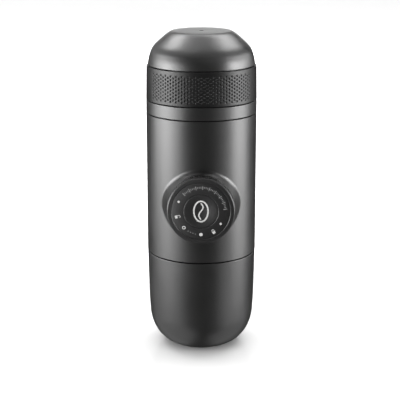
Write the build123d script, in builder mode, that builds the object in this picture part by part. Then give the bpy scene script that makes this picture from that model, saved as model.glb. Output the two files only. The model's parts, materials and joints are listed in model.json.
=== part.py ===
from build123d import *
import math
import os

# Handheld manual espresso maker: an upright capsule of stacked, screwed
# sections around a small hand pump.  Millimetres, +Z up, origin on the base at
# the centre line, the pump knob points to -Y.
#
#   z   0.0 ..  53.4   water tank
#   z  54.0 .. 131.1   main body with the pump
#   z 131.5 .. 138.3   portafilter ring
#   z 138.7 .. 156.8   knurled outlet head
#   z 157.2 .. 175.0   drinking cup, stored upside down as the lid

# ------------------------------------------------------------------- sizes
BODY_R = 30.0          # common outer radius of the capsule
TOTAL_H = 175.0
TANK_TOP = 53.4
BODY_Z0 = 54.0
BODY_Z1 = 131.1
FILTER_Z0 = 131.5
FILTER_Z1 = 138.3
HEAD_Z0 = 138.7
HEAD_Z1 = 156.8
CUP_Z0 = 157.2
EDGE = 0.2             # broken edge at every outside seam

# screw threads: two starts, coarse, short blunt ribs
LEAD = 6.0
STARTS = 2
RIB_SPAN = 300.0       # degrees covered by one rib
MALE_ROOT = 26.4
MALE_CREST = 27.3
FEMALE_ROOT = 27.6
FEMALE_CREST = 26.7
RIB_HALF_CREST = 0.45
RIB_HALF_BASE = 0.85

# pump
KNOB_Z = 85.6          # height of the pump axis
STROKE = 22.0
TUBE_R = 18.2          # well tube inside the barrel
BOSS_R = 17.4
BOSS_Y = -32.3         # front lip of the boss
BOSS_FOOT_R = 21.5     # the boss widens towards the barrel, at BOSS_FOOT_Y
BOSS_FOOT_Y = -19.7
BOSS_BLEND = 3.0
WELL_R = 16.6
WELL_Y1 = 2.0          # rear end of the well
FACE_Y = -40.0         # front face of the knob
KNOB_R = 17.85
KNOB_FACE_R = 15.3     # edge of the sunk face, inside the rim
RIM_Y = -39.8
BEVEL_Y = -39.2
SKIRT_Y = -33.4
SLEEVE_R = 14.6
SLEEVE_IN = 12.9
BORE_R = 7.5
LINER_R = 8.35
COLUMN_Y = 16.0        # vertical water column behind the well
COLUMN_R = 7.5

# decks
DECK_SCREW_R = 23.9
UPPER_Z0 = 117.0
UPPER_Z1 = 121.0
LOWER_Z0 = 53.0
LOWER_Z1 = 57.0

os.makedirs("parts", exist_ok=True)

pump_axis = Axis((0, 0, KNOB_Z), (0, 1, 0))


def arc_points(r_mid, z_mid, a, b, z_from, z_to, count):
    """Points of a quarter ellipse centred on (r_mid, z_mid), from z_from to z_to."""
    pts = []
    for k in range(count + 1):
        z = z_from + (z_to - z_from) * k / count
        pts.append((r_mid + a * math.sqrt(max(0.0, 1 - ((z_mid - z) / b) ** 2)), z))
    return pts


def sector(r_in, r_out, deg_from, deg_to):
    """Six points round a ring sector about the pump axis, seen along +Y."""
    def at(r, deg):
        return (r * math.cos(math.radians(deg)), KNOB_Z + r * math.sin(math.radians(deg)))
    mid = (deg_from + deg_to) / 2
    return [at(r_in, deg_from), at(r_out, deg_from), at(r_out, mid), at(r_out, deg_to),
            at(r_in, deg_to), at(r_in, mid)]


# -------------------------------------------------- ribs of the screw threads
with BuildPart() as male_rib:
    with BuildLine() as male_path:
        Helix(pitch=LEAD, height=LEAD * RIB_SPAN / 360, radius=MALE_ROOT)
    with BuildSketch(Plane.XZ):
        with BuildLine():
            Polyline(
                (MALE_CREST - 1.2, -RIB_HALF_BASE),
                (MALE_CREST, -RIB_HALF_CREST),
                (MALE_CREST, RIB_HALF_CREST),
                (MALE_CREST - 1.2, RIB_HALF_BASE),
                close=True,
            )
        make_face()
    sweep(path=male_path.line, is_frenet=True)

with BuildPart() as female_rib:
    with BuildLine() as female_path:
        Helix(pitch=LEAD, height=LEAD * RIB_SPAN / 360, radius=FEMALE_ROOT)
    with BuildSketch(Plane.XZ):
        with BuildLine():
            Polyline(
                (FEMALE_CREST + 1.2, -RIB_HALF_BASE),
                (FEMALE_CREST, -RIB_HALF_CREST),
                (FEMALE_CREST, RIB_HALF_CREST),
                (FEMALE_CREST + 1.2, RIB_HALF_BASE),
                close=True,
            )
        make_face()
    sweep(path=female_path.line, is_frenet=True)

# rib starts: a female rib lies half a pitch above its male rib
TANK_MALE_Z = 46.2
FILTER_MALE_Z = 123.8
HEAD_MALE_Z = 139.9
FEMALE_TURN = -60.0
FEMALE_RISE = LEAD / STARTS / 2 + LEAD * FEMALE_TURN / 360

# --------------------------------------------------------------- body shell
# the hollow inside the barrel, with the well tube, its rear ring and the four
# screw posts left standing
with BuildPart() as barrel_core:
    with BuildSketch(Plane.XZ):
        with BuildLine():
            Polyline(
                (0, BODY_Z0 - 1), (28.0, BODY_Z0 - 1), (28.0, 57.1), (26.4, 57.1),
                (26.4, 59.5), (28.0, 61.1), (28.0, 111.5), (25.0, 114.5),
                (25.0, UPPER_Z0), (FEMALE_ROOT, UPPER_Z0),
                (FEMALE_ROOT, BODY_Z1 + 1), (0, BODY_Z1 + 1),
                close=True,
            )
        make_face()
    revolve(axis=Axis.Z)
    with BuildSketch(Plane.XZ.offset(-WELL_Y1)):
        with Locations((0, KNOB_Z)):
            Circle(TUBE_R)
    extrude(amount=40, mode=Mode.SUBTRACT)
    with BuildSketch(Plane.XZ.offset(-WELL_Y1)):
        with Locations((0, KNOB_Z)):
            Circle(22.0)
    extrude(amount=6, mode=Mode.SUBTRACT)
    with BuildSketch(Plane.XY.offset(106)):
        with PolarLocations(DECK_SCREW_R, 4, start_angle=45):
            Circle(4.3)
    extrude(amount=UPPER_Z0 - 106, mode=Mode.SUBTRACT)

with BuildPart() as body_shell:
    with BuildSketch(Plane.XY.offset(BODY_Z0)):
        Circle(BODY_R)
    extrude(amount=BODY_Z1 - BODY_Z0)
    chamfer(body_shell.edges().filter_by(GeomType.CIRCLE), length=EDGE)
    with BuildSketch(Plane.YZ):
        with BuildLine():
            Polyline(
                (BOSS_Y, KNOB_Z), (BOSS_Y, KNOB_Z + BOSS_R),
                (BOSS_FOOT_Y, KNOB_Z + BOSS_FOOT_R), (BOSS_FOOT_Y, KNOB_Z),
                close=True,
            )
        make_face()
    revolve(axis=pump_axis)
    fillet(
        body_shell.edges().filter_by(
            lambda e: e.geom_type not in (GeomType.CIRCLE, GeomType.LINE)
        ),
        radius=BOSS_BLEND,
    )
    add(barrel_core.part, mode=Mode.SUBTRACT)
    # well for the pump sleeve, with a slightly opened mouth
    with BuildSketch(Plane.XZ.offset(-BOSS_Y + 1)):
        with Locations((0, KNOB_Z)):
            Circle(WELL_R)
    extrude(amount=-(WELL_Y1 - BOSS_Y + 2), mode=Mode.SUBTRACT)
    # pilot holes of the deck posts
    with BuildSketch(Plane.XY.offset(UPPER_Z0)):
        with PolarLocations(DECK_SCREW_R, 4, start_angle=45):
            Circle(1.45)
    extrude(amount=-9, mode=Mode.SUBTRACT)
    # pilot holes in the rear ring of the well, for the pump screws
    with BuildSketch(Plane.XZ.offset(-WELL_Y1)):
        with Locations((0, KNOB_Z)):
            with PolarLocations(19.4, 4, start_angle=45):
                Circle(1.25)
    extrude(amount=5, mode=Mode.SUBTRACT)
    # ribs of the screw thread that takes the portafilter
    with Locations(Location((0, 0, FILTER_MALE_Z + FEMALE_RISE), (0, 0, FEMALE_TURN))):
        with PolarLocations(0, STARTS):
            add(female_rib.part)

# --------------------------------------------------------------- lower deck
with BuildPart() as lower_deck:
    with BuildSketch(Plane.XZ):
        with BuildLine():
            Polyline(
                (0, LOWER_Z0), (24.2, LOWER_Z0), (24.2, 45.0), (MALE_ROOT, 45.0),
                (MALE_ROOT, BODY_Z0), (27.8, BODY_Z0), (27.8, 56.6), (26.2, 56.6),
                (26.2, LOWER_Z1), (0, LOWER_Z1),
                close=True,
            )
        make_face()
    revolve(axis=Axis.Z)
    with BuildSketch(Plane.XY.offset(LOWER_Z0)):
        with Locations((0, COLUMN_Y)):
            Circle(2.2)
        with Locations((13, -12)):
            Circle(1.25)
            with PolarLocations(2.6, 4):
                Circle(0.5)
        with Locations((-10, 6), (10, 6), (-10, 18), (10, 18)):
            Circle(1.7)
    extrude(amount=LOWER_Z1 - LOWER_Z0, mode=Mode.SUBTRACT)
    with BuildSketch(Plane.XY.offset(LOWER_Z0)):
        with Locations((-10, 6), (10, 6), (-10, 18), (10, 18)):
            Circle(2.8)
    extrude(amount=1.8, mode=Mode.SUBTRACT)
    with Locations((0, 0, TANK_MALE_Z)):
        with PolarLocations(0, STARTS):
            add(male_rib.part)

with BuildPart() as lower_seal:
    with BuildSketch(Plane.XY.offset(56.62)):
        Circle(27.75)
        Circle(26.55, mode=Mode.SUBTRACT)
    extrude(amount=0.46)

# ---------------------------------------------------------------- pump body
with BuildPart() as pump_body:
    with BuildSketch(Plane.YZ):
        with BuildLine():
            Polyline(
                (-20.0, KNOB_Z), (-20.0, KNOB_Z + 10.2), (WELL_Y1, KNOB_Z + 10.2),
                (WELL_Y1, KNOB_Z + 21.6), (5.0, KNOB_Z + 21.6), (5.0, KNOB_Z + 12.0),
                (21.0, KNOB_Z + 12.0), (22.0, KNOB_Z + 11.0), (22.0, KNOB_Z),
                close=True,
            )
        make_face()
    revolve(axis=pump_axis)
    with BuildSketch(Plane.XY.offset(LOWER_Z1)):
        with Locations((0, COLUMN_Y)):
            Circle(COLUMN_R)
    extrude(amount=UPPER_Z0 - LOWER_Z1)
    with BuildSketch(Plane.XY.offset(LOWER_Z1)):
        with Locations((0, 12.2)):
            RectangleRounded(27.0, 18.0, 3.0)
    extrude(amount=3.5)
    # bore for the liner
    with BuildSketch(Plane.XZ.offset(20.0)):
        with Locations((0, KNOB_Z)):
            Circle(LINER_R + 0.03)
    extrude(amount=-40.0, mode=Mode.SUBTRACT)
    # inlet side: valve chamber and port up into the bore
    with BuildSketch(Plane.XY.offset(LOWER_Z1)):
        with Locations((0, COLUMN_Y)):
            Circle(5.5)
    extrude(amount=4.2, mode=Mode.SUBTRACT)
    with BuildSketch(Plane.XY.offset(LOWER_Z1)):
        with Locations((0, COLUMN_Y)):
            Circle(2.0)
    extrude(amount=24.0, mode=Mode.SUBTRACT)
    # outlet side: port out of the bore and the drilled valve chamber above it
    with BuildSketch(Plane.XY.offset(UPPER_Z0)):
        with Locations((0, COLUMN_Y)):
            Circle(2.0)
    extrude(amount=-26.0, mode=Mode.SUBTRACT)
    with BuildSketch(Plane.XY.offset(UPPER_Z0)):
        with Locations((0, COLUMN_Y)):
            Circle(5.0)
    extrude(amount=-17.0, mode=Mode.SUBTRACT)
    with BuildSketch(Plane.XY.offset(UPPER_Z0)):
        with Locations((0, COLUMN_Y)):
            Circle(6.95)
            Circle(5.75, mode=Mode.SUBTRACT)
    extrude(amount=-0.8, mode=Mode.SUBTRACT)
    # screw holes: rear flange and foot
    with BuildSketch(Plane.XZ.offset(-5.0)):
        with Locations((0, KNOB_Z)):
            with PolarLocations(19.4, 4, start_angle=45):
                Circle(1.55)
    extrude(amount=3.0, mode=Mode.SUBTRACT)
    with BuildSketch(Plane.XY.offset(LOWER_Z1)):
        with Locations((-10, 6), (10, 6), (-10, 18), (10, 18)):
            Circle(1.45)
    extrude(amount=3.5, mode=Mode.SUBTRACT)

with BuildPart() as cylinder_liner:
    with BuildSketch(Plane.XZ.offset(20.0)):
        with Locations((0, KNOB_Z)):
            Circle(LINER_R)
            Circle(BORE_R, mode=Mode.SUBTRACT)
    extrude(amount=-39.9)
    with BuildSketch(Plane.XY.offset(KNOB_Z - 10)):
        with Locations((0, COLUMN_Y)):
            Circle(2.0)
    extrude(amount=20, mode=Mode.SUBTRACT)

with BuildPart() as rod_guide:
    with BuildSketch(Plane.XZ.offset(19.8)):
        with Locations((0, KNOB_Z)):
            Circle(BORE_R - 0.03)
            Circle(4.3, mode=Mode.SUBTRACT)
    extrude(amount=-2.6)

with BuildPart() as column_seal:
    with Locations((0, COLUMN_Y, UPPER_Z0 - 0.41)):
        Torus(6.35, 0.38)

# ------------------------------------------------------------------- valves
with BuildPart() as inlet_strainer:
    with BuildSketch(Plane.XY.offset(52.4)):
        with Locations((0, COLUMN_Y)):
            Circle(4.6)
            with PolarLocations(3.2, 10):
                Circle(0.45, mode=Mode.SUBTRACT)
            with PolarLocations(1.5, 5):
                Circle(0.45, mode=Mode.SUBTRACT)
    extrude(amount=0.55)

with BuildPart() as inlet_valve_seat:
    with BuildSketch(Plane.XY.offset(LOWER_Z1 + 0.02)):
        with Locations((0, COLUMN_Y)):
            Circle(5.45)
            Circle(2.2, mode=Mode.SUBTRACT)
    extrude(amount=0.9)
    with BuildSketch(Plane.XY.offset(LOWER_Z1 + 0.9)):
        with Locations((0, COLUMN_Y)):
            Circle(3.1)
            Circle(2.2, mode=Mode.SUBTRACT)
    extrude(amount=0.5)

with BuildPart() as inlet_valve_disc:
    with BuildSketch(Plane.XY.offset(LOWER_Z1 + 1.5)):
        with Locations((0, COLUMN_Y)):
            Circle(4.4)
    extrude(amount=1.1)
    fillet(inlet_valve_disc.edges().filter_by(GeomType.CIRCLE), radius=0.2)

with BuildPart() as outlet_valve_seat:
    with BuildSketch(Plane.XZ):
        with BuildLine():
            Polyline((1.9, 100.0), (4.95, 100.0), (4.95, 102.0), (3.2, 102.0),
                     (1.9, 100.7), close=True)
        make_face()
    revolve(axis=Axis.Z)
outlet_valve_seat.part = Pos(0, COLUMN_Y, 0) * outlet_valve_seat.part

with BuildPart() as outlet_valve_ball:
    with Locations((0, COLUMN_Y, 102.6)):
        Sphere(2.6)

with BuildPart() as outlet_valve_spring:
    with BuildLine() as ball_spring_path:
        Helix(pitch=1.17, height=4.68, radius=1.9, center=(0, COLUMN_Y, 104.95))
    with BuildSketch(Plane(origin=ball_spring_path.line @ 0, z_dir=ball_spring_path.line % 0)):
        Circle(0.28)
    sweep(path=ball_spring_path.line, is_frenet=True)

with BuildPart() as outlet_valve_retainer:
    with BuildSketch(Plane.XY.offset(110.0)):
        with Locations((0, COLUMN_Y)):
            Circle(4.95)
            Circle(1.2, mode=Mode.SUBTRACT)
            with PolarLocations(3.2, 4):
                Circle(0.8, mode=Mode.SUBTRACT)
    extrude(amount=1.8)

# umbrella valve that lets air into the tank as the water leaves it
with BuildPart() as air_valve:
    with BuildSketch(Plane.XZ):
        with BuildLine():
            Polyline((0, 51.7), (2.2, 51.9), (4.2, 52.9), (3.7, 52.95), (1.1, 52.6),
                     (1.1, 57.1), (1.7, 57.4), (1.2, 58.8), (0, 58.9), close=True)
        make_face()
    revolve(axis=Axis.Z)
air_valve.part = Pos(13, -12, 0) * air_valve.part

# --------------------------------------------------------------- upper deck
with BuildPart() as upper_deck:
    with BuildSketch(Plane.XZ):
        with BuildLine():
            Polyline(
                (0, UPPER_Z0), (27.4, UPPER_Z0), (27.4, 118.2), (26.35, 118.2),
                (26.35, 119.6), (27.4, 119.6), (27.4, UPPER_Z1), (20.0, UPPER_Z1),
                (20.0, 119.8), (3.5, 119.8), (3.5, UPPER_Z1), (0, UPPER_Z1),
                close=True,
            )
        make_face()
    revolve(axis=Axis.Z)
    with BuildSketch(Plane.XY.offset(UPPER_Z0)):
        with Locations((0, COLUMN_Y)):
            Circle(2.5)
        with PolarLocations(DECK_SCREW_R, 4, start_angle=45):
            Circle(1.7)
    extrude(amount=4, mode=Mode.SUBTRACT)
    with BuildSketch(Plane.XY.offset(UPPER_Z1)):
        with PolarLocations(DECK_SCREW_R, 4, start_angle=45):
            Circle(2.75)
    extrude(amount=-1.3, mode=Mode.SUBTRACT)
    with BuildSketch(Plane.XY.offset(UPPER_Z1)):
        Circle(1.45)
    extrude(amount=-3.2, mode=Mode.SUBTRACT)

with BuildPart() as upper_seal:
    with Locations((0, 0, 118.9)):
        Torus(26.96, 0.58)

with BuildPart() as shower_screen:
    with BuildSketch(Plane.XY.offset(UPPER_Z1 + 0.02)):
        Circle(21.4)
        for ring, count in ((6.5, 8), (10.5, 14), (14.5, 20), (18.3, 26)):
            with PolarLocations(ring, count):
                Circle(0.6, mode=Mode.SUBTRACT)
        Circle(1.5, mode=Mode.SUBTRACT)
    extrude(amount=0.58)

with BuildPart() as shower_screw:
    with BuildSketch(Plane.XY.offset(121.65)):
        Circle(3.0)
    extrude(amount=1.0)
    chamfer(shower_screw.faces().sort_by(Axis.Z)[-1].edges(), length=0.35)
    with BuildSketch(Plane.XY.offset(122.65)):
        Rectangle(4.4, 0.8)
    extrude(amount=-0.5, mode=Mode.SUBTRACT)
    with BuildSketch(Plane.XY.offset(118.0)):
        Circle(1.4)
    extrude(amount=3.65)

with BuildPart() as group_gasket:
    with BuildSketch(Plane.XY.offset(UPPER_Z1 + 0.02)):
        Circle(24.3)
        Circle(21.7, mode=Mode.SUBTRACT)
    extrude(amount=0.95)

# ------------------------------------------------------------------- screws
with BuildPart() as deck_screws:
    with BuildSketch(Plane.XY.offset(119.75)):
        with PolarLocations(DECK_SCREW_R, 4, start_angle=45):
            Circle(2.5)
    extrude(amount=1.15)
    with BuildSketch(Plane.XY.offset(120.9)):
        with PolarLocations(DECK_SCREW_R, 4, start_angle=45):
            RegularPolygon(1.1, 6)
    extrude(amount=-0.7, mode=Mode.SUBTRACT)
    with BuildSketch(Plane.XY.offset(109.0)):
        with PolarLocations(DECK_SCREW_R, 4, start_angle=45):
            Circle(1.4)
    extrude(amount=10.75)

with BuildPart() as pump_screws:
    with BuildSketch(Plane.XZ.offset(-5.05)):
        with Locations((0, KNOB_Z)):
            with PolarLocations(19.4, 4, start_angle=45):
                Circle(2.1)
    extrude(amount=-1.5)
    with BuildSketch(Plane.XZ.offset(-5.05)):
        with Locations((0, KNOB_Z)):
            with PolarLocations(19.4, 4, start_angle=45):
                Circle(1.2)
    extrude(amount=7.5)

with BuildPart() as foot_screws:
    with BuildSketch(Plane.XY.offset(53.2)):
        with Locations((-10, 6), (10, 6), (-10, 18), (10, 18)):
            Circle(2.6)
    extrude(amount=1.55)
    with BuildSketch(Plane.XY.offset(53.2)):
        with Locations((-10, 6), (10, 6), (-10, 18), (10, 18)):
            RegularPolygon(1.1, 6)
    extrude(amount=0.8, mode=Mode.SUBTRACT)
    with BuildSketch(Plane.XY.offset(54.75)):
        with Locations((-10, 6), (10, 6), (-10, 18), (10, 18)):
            Circle(1.4)
    extrude(amount=7.0)

# -------------------------------------------------- rings in the pump well
with BuildPart() as guide_collar:
    with BuildSketch(Plane.XZ.offset(31.9)):
        with Locations((0, KNOB_Z)):
            Circle(WELL_R - 0.05)
            Circle(SLEEVE_R + 0.3, mode=Mode.SUBTRACT)
    extrude(amount=-5.6)
    chamfer(guide_collar.faces().sort_by(Axis.Y)[0].edges(), length=0.3)

LUGS = 3
LUG_DEG = 24.0
LOCK_TURN = 45.0

# quarter-turn lock ring: a broad slot for each lug
with BuildPart() as lock_ring:
    with BuildSketch(Plane.XZ.offset(8.2)):
        with Locations((0, KNOB_Z)):
            Circle(WELL_R - 0.05)
            Circle(SLEEVE_R + 0.3, mode=Mode.SUBTRACT)
    extrude(amount=-3.8)
    with BuildSketch(Plane.XZ.offset(9.0)):
        for k in range(LUGS):
            mid = 90 + 120 * k
            c = sector(13.0, 16.3, mid - LUG_DEG / 2 - 4, mid + LUG_DEG / 2 + LOCK_TURN + 4)
            with BuildLine():
                Line(c[0], c[1])
                ThreePointArc(c[1], c[2], c[3])
                Line(c[3], c[4])
                ThreePointArc(c[4], c[5], c[0])
            make_face()
    extrude(amount=-6, mode=Mode.SUBTRACT)

with BuildPart() as return_spring:
    with BuildLine() as return_path:
        Helix(pitch=34.9 / 8.5, height=34.9, radius=11.6,
              center=(0, WELL_Y1 - 0.68, KNOB_Z), direction=(0, -1, 0))
    with BuildSketch(Plane(origin=return_path.line @ 0, z_dir=return_path.line % 0)):
        Circle(0.6)
    sweep(path=return_path.line, is_frenet=True)

# ------------------------------------------------------------------- piston
with BuildPart() as piston_rod:
    with BuildSketch(Plane.YZ):
        with BuildLine():
            Polyline(
                (-37.5, KNOB_Z), (-37.5, KNOB_Z + 4.0), (-32.8, KNOB_Z + 4.0),
                (-32.8, KNOB_Z + 6.6), (-31.3, KNOB_Z + 6.6), (-31.3, KNOB_Z + 4.0),
                (5.6, KNOB_Z + 4.0), (5.6, KNOB_Z + 2.95), (11.0, KNOB_Z + 2.95),
                (11.0, KNOB_Z),
                close=True,
            )
        make_face()
    revolve(axis=pump_axis)
    with BuildSketch(Plane.XZ.offset(37.5)):
        with Locations((0, KNOB_Z)):
            Circle(1.55)
    extrude(amount=-9, mode=Mode.SUBTRACT)

with BuildPart() as piston_head:
    with BuildSketch(Plane.YZ):
        with BuildLine():
            Polyline(
                (5.7, KNOB_Z + 3.0), (5.7, KNOB_Z + 7.2), (7.0, KNOB_Z + 7.2),
                (7.0, KNOB_Z + 5.85), (8.6, KNOB_Z + 5.85), (8.6, KNOB_Z + 7.2),
                (10.4, KNOB_Z + 7.2), (10.4, KNOB_Z + 5.85), (12.0, KNOB_Z + 5.85),
                (12.0, KNOB_Z + 7.2), (13.1, KNOB_Z + 7.2), (13.5, KNOB_Z + 6.8),
                (13.5, KNOB_Z), (11.1, KNOB_Z), (11.1, KNOB_Z + 3.0),
                close=True,
            )
        make_face()
    revolve(axis=pump_axis)

with BuildPart() as piston_o_rings:
    with BuildSketch(Plane.YZ):
        with Locations((7.8, KNOB_Z + 6.62), (11.2, KNOB_Z + 6.62)):
            Circle(0.75)
    revolve(axis=pump_axis)

with BuildPart() as spring_washer:
    with BuildSketch(Plane.XZ.offset(35.3)):
        with Locations((0, KNOB_Z)):
            Circle(12.6)
            Circle(7.4, mode=Mode.SUBTRACT)
    extrude(amount=-0.9)

with BuildPart() as knob_screw:
    with BuildSketch(Plane.XZ.offset(38.6)):
        with Locations((0, KNOB_Z)):
            Circle(6.0)
    extrude(amount=-1.05)
    with BuildSketch(Plane.XZ.offset(38.6)):
        with Locations((0, KNOB_Z)):
            RegularPolygon(2.0, 6)
    extrude(amount=-0.7, mode=Mode.SUBTRACT)
    with BuildSketch(Plane.XZ.offset(37.6)):
        with Locations((0, KNOB_Z)):
            Circle(1.5)
    extrude(amount=-7.5)

# --------------------------------------------------------------------- knob
with BuildPart() as knob_cap:
    with BuildSketch(Plane.YZ):
        with BuildLine():
            Polyline(
                (FACE_Y, KNOB_Z + 9.15), (FACE_Y, KNOB_Z + 10.6),
                (FACE_Y + 0.09, KNOB_Z + 12.3), (FACE_Y + 0.24, KNOB_Z + 14.0),
                (FACE_Y + 0.45, KNOB_Z + KNOB_FACE_R), (RIM_Y, KNOB_Z + 15.62),
                (RIM_Y + 0.1, KNOB_Z + 17.3), (BEVEL_Y, KNOB_Z + KNOB_R),
                (SKIRT_Y, KNOB_Z + KNOB_R), (SKIRT_Y, KNOB_Z + SLEEVE_R),
                (0.0, KNOB_Z + SLEEVE_R), (0.0, KNOB_Z + SLEEVE_IN),
                (-35.4, KNOB_Z + SLEEVE_IN), (-35.4, KNOB_Z + 7.0),
                (-33.0, KNOB_Z + 7.0), (-33.0, KNOB_Z + 4.3),
                (-37.2, KNOB_Z + 4.3), (-37.2, KNOB_Z + 6.4),
                (-38.75, KNOB_Z + 6.4), (-38.75, KNOB_Z + 9.15),
                close=True,
            )
        make_face()
    revolve(axis=pump_axis)
    # lugs of the quarter-turn lock at the inner end of the sleeve
    with BuildSketch(Plane.XZ.offset(4.0)):
        for k in range(LUGS):
            mid = 90 + 120 * k
            c = sector(14.2, 15.95, mid - LUG_DEG / 2, mid + LUG_DEG / 2)
            with BuildLine():
                Line(c[0], c[1])
                ThreePointArc(c[1], c[2], c[3])
                Line(c[3], c[4])
                ThreePointArc(c[4], c[5], c[0])
            make_face()
    extrude(amount=-4.0)

with BuildPart() as knob_badge:
    with BuildSketch(Plane.YZ):
        with BuildLine():
            Polyline(
                (-38.85, KNOB_Z), (-38.85, KNOB_Z + 9.05), (-39.95, KNOB_Z + 9.05),
                (-39.62, KNOB_Z + 7.0), (-39.42, KNOB_Z + 4.2), (-39.35, KNOB_Z + 1.8),
                (-39.35, KNOB_Z),
                close=True,
            )
        make_face()
    revolve(axis=pump_axis)

# -------------------------------------------------------------- portafilter
with BuildPart() as portafilter_gasket:
    with BuildSketch(Plane.XY.offset(121.25)):
        Circle(26.2)
        Circle(24.7, mode=Mode.SUBTRACT)
    extrude(amount=1.0)

with BuildPart() as portafilter:
    with BuildSketch(Plane.XZ):
        with BuildLine():
            Polyline(
                (24.6, 122.5), (MALE_ROOT, 122.5), (MALE_ROOT, FILTER_Z0),
                (BODY_R - EDGE, FILTER_Z0), (BODY_R, FILTER_Z0 + EDGE),
                (BODY_R, FILTER_Z1 - EDGE), (BODY_R - EDGE, FILTER_Z1),
                (MALE_ROOT, FILTER_Z1), (MALE_ROOT, 147.3), (22.6, 147.3),
                (22.6, 124.0), (24.6, 124.0),
                close=True,
            )
        make_face()
    revolve(axis=Axis.Z)
    with Locations((0, 0, FILTER_MALE_Z)):
        with PolarLocations(0, STARTS):
            add(male_rib.part)
    with Locations((0, 0, HEAD_MALE_Z)):
        with PolarLocations(0, STARTS):
            add(male_rib.part)

with BuildPart() as filter_basket:
    with BuildSketch(Plane.XZ):
        with BuildLine():
            Polyline((21.5, 122.7), (24.4, 122.7), (24.4, 123.8), (22.3, 123.8),
                     (22.3, 138.0), (0, 138.0), (0, 137.2), (21.5, 137.2), close=True)
        make_face()
    revolve(axis=Axis.Z)
    with BuildSketch(Plane.XY.offset(137.0)):
        for ring, count in ((4.0, 6), (8.0, 12), (12.0, 18), (16.0, 24), (19.6, 30)):
            with PolarLocations(ring, count):
                Circle(0.7)
    extrude(amount=1.5, mode=Mode.SUBTRACT)

with BuildPart() as filter_screen:
    with BuildSketch(Plane.XY.offset(136.6)):
        Circle(21.35)
        for ring, count in ((3.0, 6), (6.0, 12), (9.0, 18), (12.0, 24), (15.0, 30), (18.0, 36)):
            with PolarLocations(ring, count):
                Circle(0.45, mode=Mode.SUBTRACT)
    extrude(amount=0.5)

with BuildPart() as scoop:
    with BuildSketch(Plane.XZ):
        with BuildLine():
            Polyline((19.4, 124.2), (21.35, 124.2), (21.35, 125.0), (20.4, 125.0),
                     (20.4, 134.9), (19.7, 135.6), (0, 135.6), (0, 134.6),
                     (19.4, 134.6), close=True)
        make_face()
    revolve(axis=Axis.Z)

# -------------------------------------------------------------- outlet head
with BuildPart() as outlet_gasket:
    with BuildSketch(Plane.XY.offset(147.5)):
        Circle(26.2)
        Circle(24.7, mode=Mode.SUBTRACT)
    extrude(amount=0.85)

with BuildPart() as outlet_head:
    with BuildSketch(Plane.XZ):
        with BuildLine():
            Polyline(
                (FEMALE_ROOT, HEAD_Z0), (BODY_R - EDGE, HEAD_Z0),
                (BODY_R, HEAD_Z0 + EDGE), (BODY_R, HEAD_Z1 - EDGE),
                (BODY_R - EDGE, HEAD_Z1), (FEMALE_ROOT, HEAD_Z1),
                (FEMALE_ROOT, 151.2), (8.0, 152.0), (8.0, 153.5), (6.2, 153.5),
                (6.2, 150.0), (22.0, 148.6), (FEMALE_ROOT, 148.6),
                close=True,
            )
        make_face()
    revolve(axis=Axis.Z)
    with Locations(Location((0, 0, HEAD_MALE_Z + FEMALE_RISE), (0, 0, FEMALE_TURN))):
        with PolarLocations(0, STARTS):
            add(female_rib.part)

with BuildPart() as outlet_nozzle:
    with BuildSketch(Plane.XZ):
        with BuildLine():
            Polyline((2.5, 148.4), (7.6, 148.4), (7.6, 149.7), (6.05, 149.7),
                     (6.05, 153.5), (5.0, 158.2), (4.7, 158.5), (2.5, 158.5), close=True)
        make_face()
    revolve(axis=Axis.Z)

with BuildPart() as nozzle_seal:
    with Locations((0, 0, 154.15)):
        Torus(6.65, 0.6)

# ---------------------------------------------------------------------- cup
with BuildPart() as cup:
    with BuildSketch(Plane.XZ):
        with BuildLine():
            Spline(
                (28.98, CUP_Z0 + EDGE), (28.52, 160.27), (27.75, 163.07),
                (26.44, 165.65), (24.60, 167.90), (22.52, 169.93), (20.40, 171.91),
                (18.21, 173.82), (16.99, 174.60), (15.6, TOTAL_H),
            )
            # flat foot with the small moulding gate sunk in its centre
            Polyline((15.6, TOTAL_H), (0.85, TOTAL_H), (0.65, TOTAL_H - 0.8),
                     (0, TOTAL_H - 0.8), (0, 173.0), (12.0, 173.0))
            Spline((12.0, 173.0), (15.0, 172.4), (17.9, 171.0), (20.6, 169.2), (22.7, 167.2),
                   (24.2, 165.0), (25.1, 162.6), (25.4, 160.0))
            Polyline((25.4, 160.0), (25.4, 151.9), (26.9, 151.9), (27.2, 152.2),
                     (27.2, 153.2), (26.5, 153.2), (26.5, 154.4), (27.2, 154.4),
                     (27.2, CUP_Z0), (28.98 - EDGE, CUP_Z0), (28.98, CUP_Z0 + EDGE))
        make_face()
    revolve(axis=Axis.Z)

with BuildPart() as cup_seal:
    with Locations((0, 0, 153.8)):
        Torus(26.98, 0.46)

# --------------------------------------------------------------- water tank
with BuildPart() as tank_gasket:
    with BuildSketch(Plane.XY.offset(44.1)):
        Circle(26.9)
        Circle(24.7, mode=Mode.SUBTRACT)
    extrude(amount=0.7)

with BuildPart() as tank_shell:
    with BuildSketch(Plane.XZ):
        with BuildLine():
            curve_in = arc_points(12.0, 20.0, 14.9, 18.4, 1.8, 20.0, 8)
            Polyline((26.9, 20.0), (26.9, 42.8), (FEMALE_ROOT, 42.8),
                     (FEMALE_ROOT, TANK_TOP), (29.9 - EDGE, TANK_TOP),
                     (29.9, TANK_TOP - EDGE), (29.42, 30.0))
            Spline((29.42, 30.0), (29.25, 25.4), (28.87, 18.8),
                   tangents=((-0.03, -1), (-0.06, -1)))
            Bezier((28.87, 18.8), (28.01, 4.4), (18.0, 0.0), (15.7, 0.0))
            Polyline((15.7, 0.0), (0, 0), (0, 1.8), curve_in[0])
            Spline(*curve_in)
        make_face()
    revolve(axis=Axis.Z)
    with Locations(Location((0, 0, TANK_MALE_Z + FEMALE_RISE), (0, 0, FEMALE_TURN))):
        with PolarLocations(0, STARTS):
            add(female_rib.part)

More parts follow.
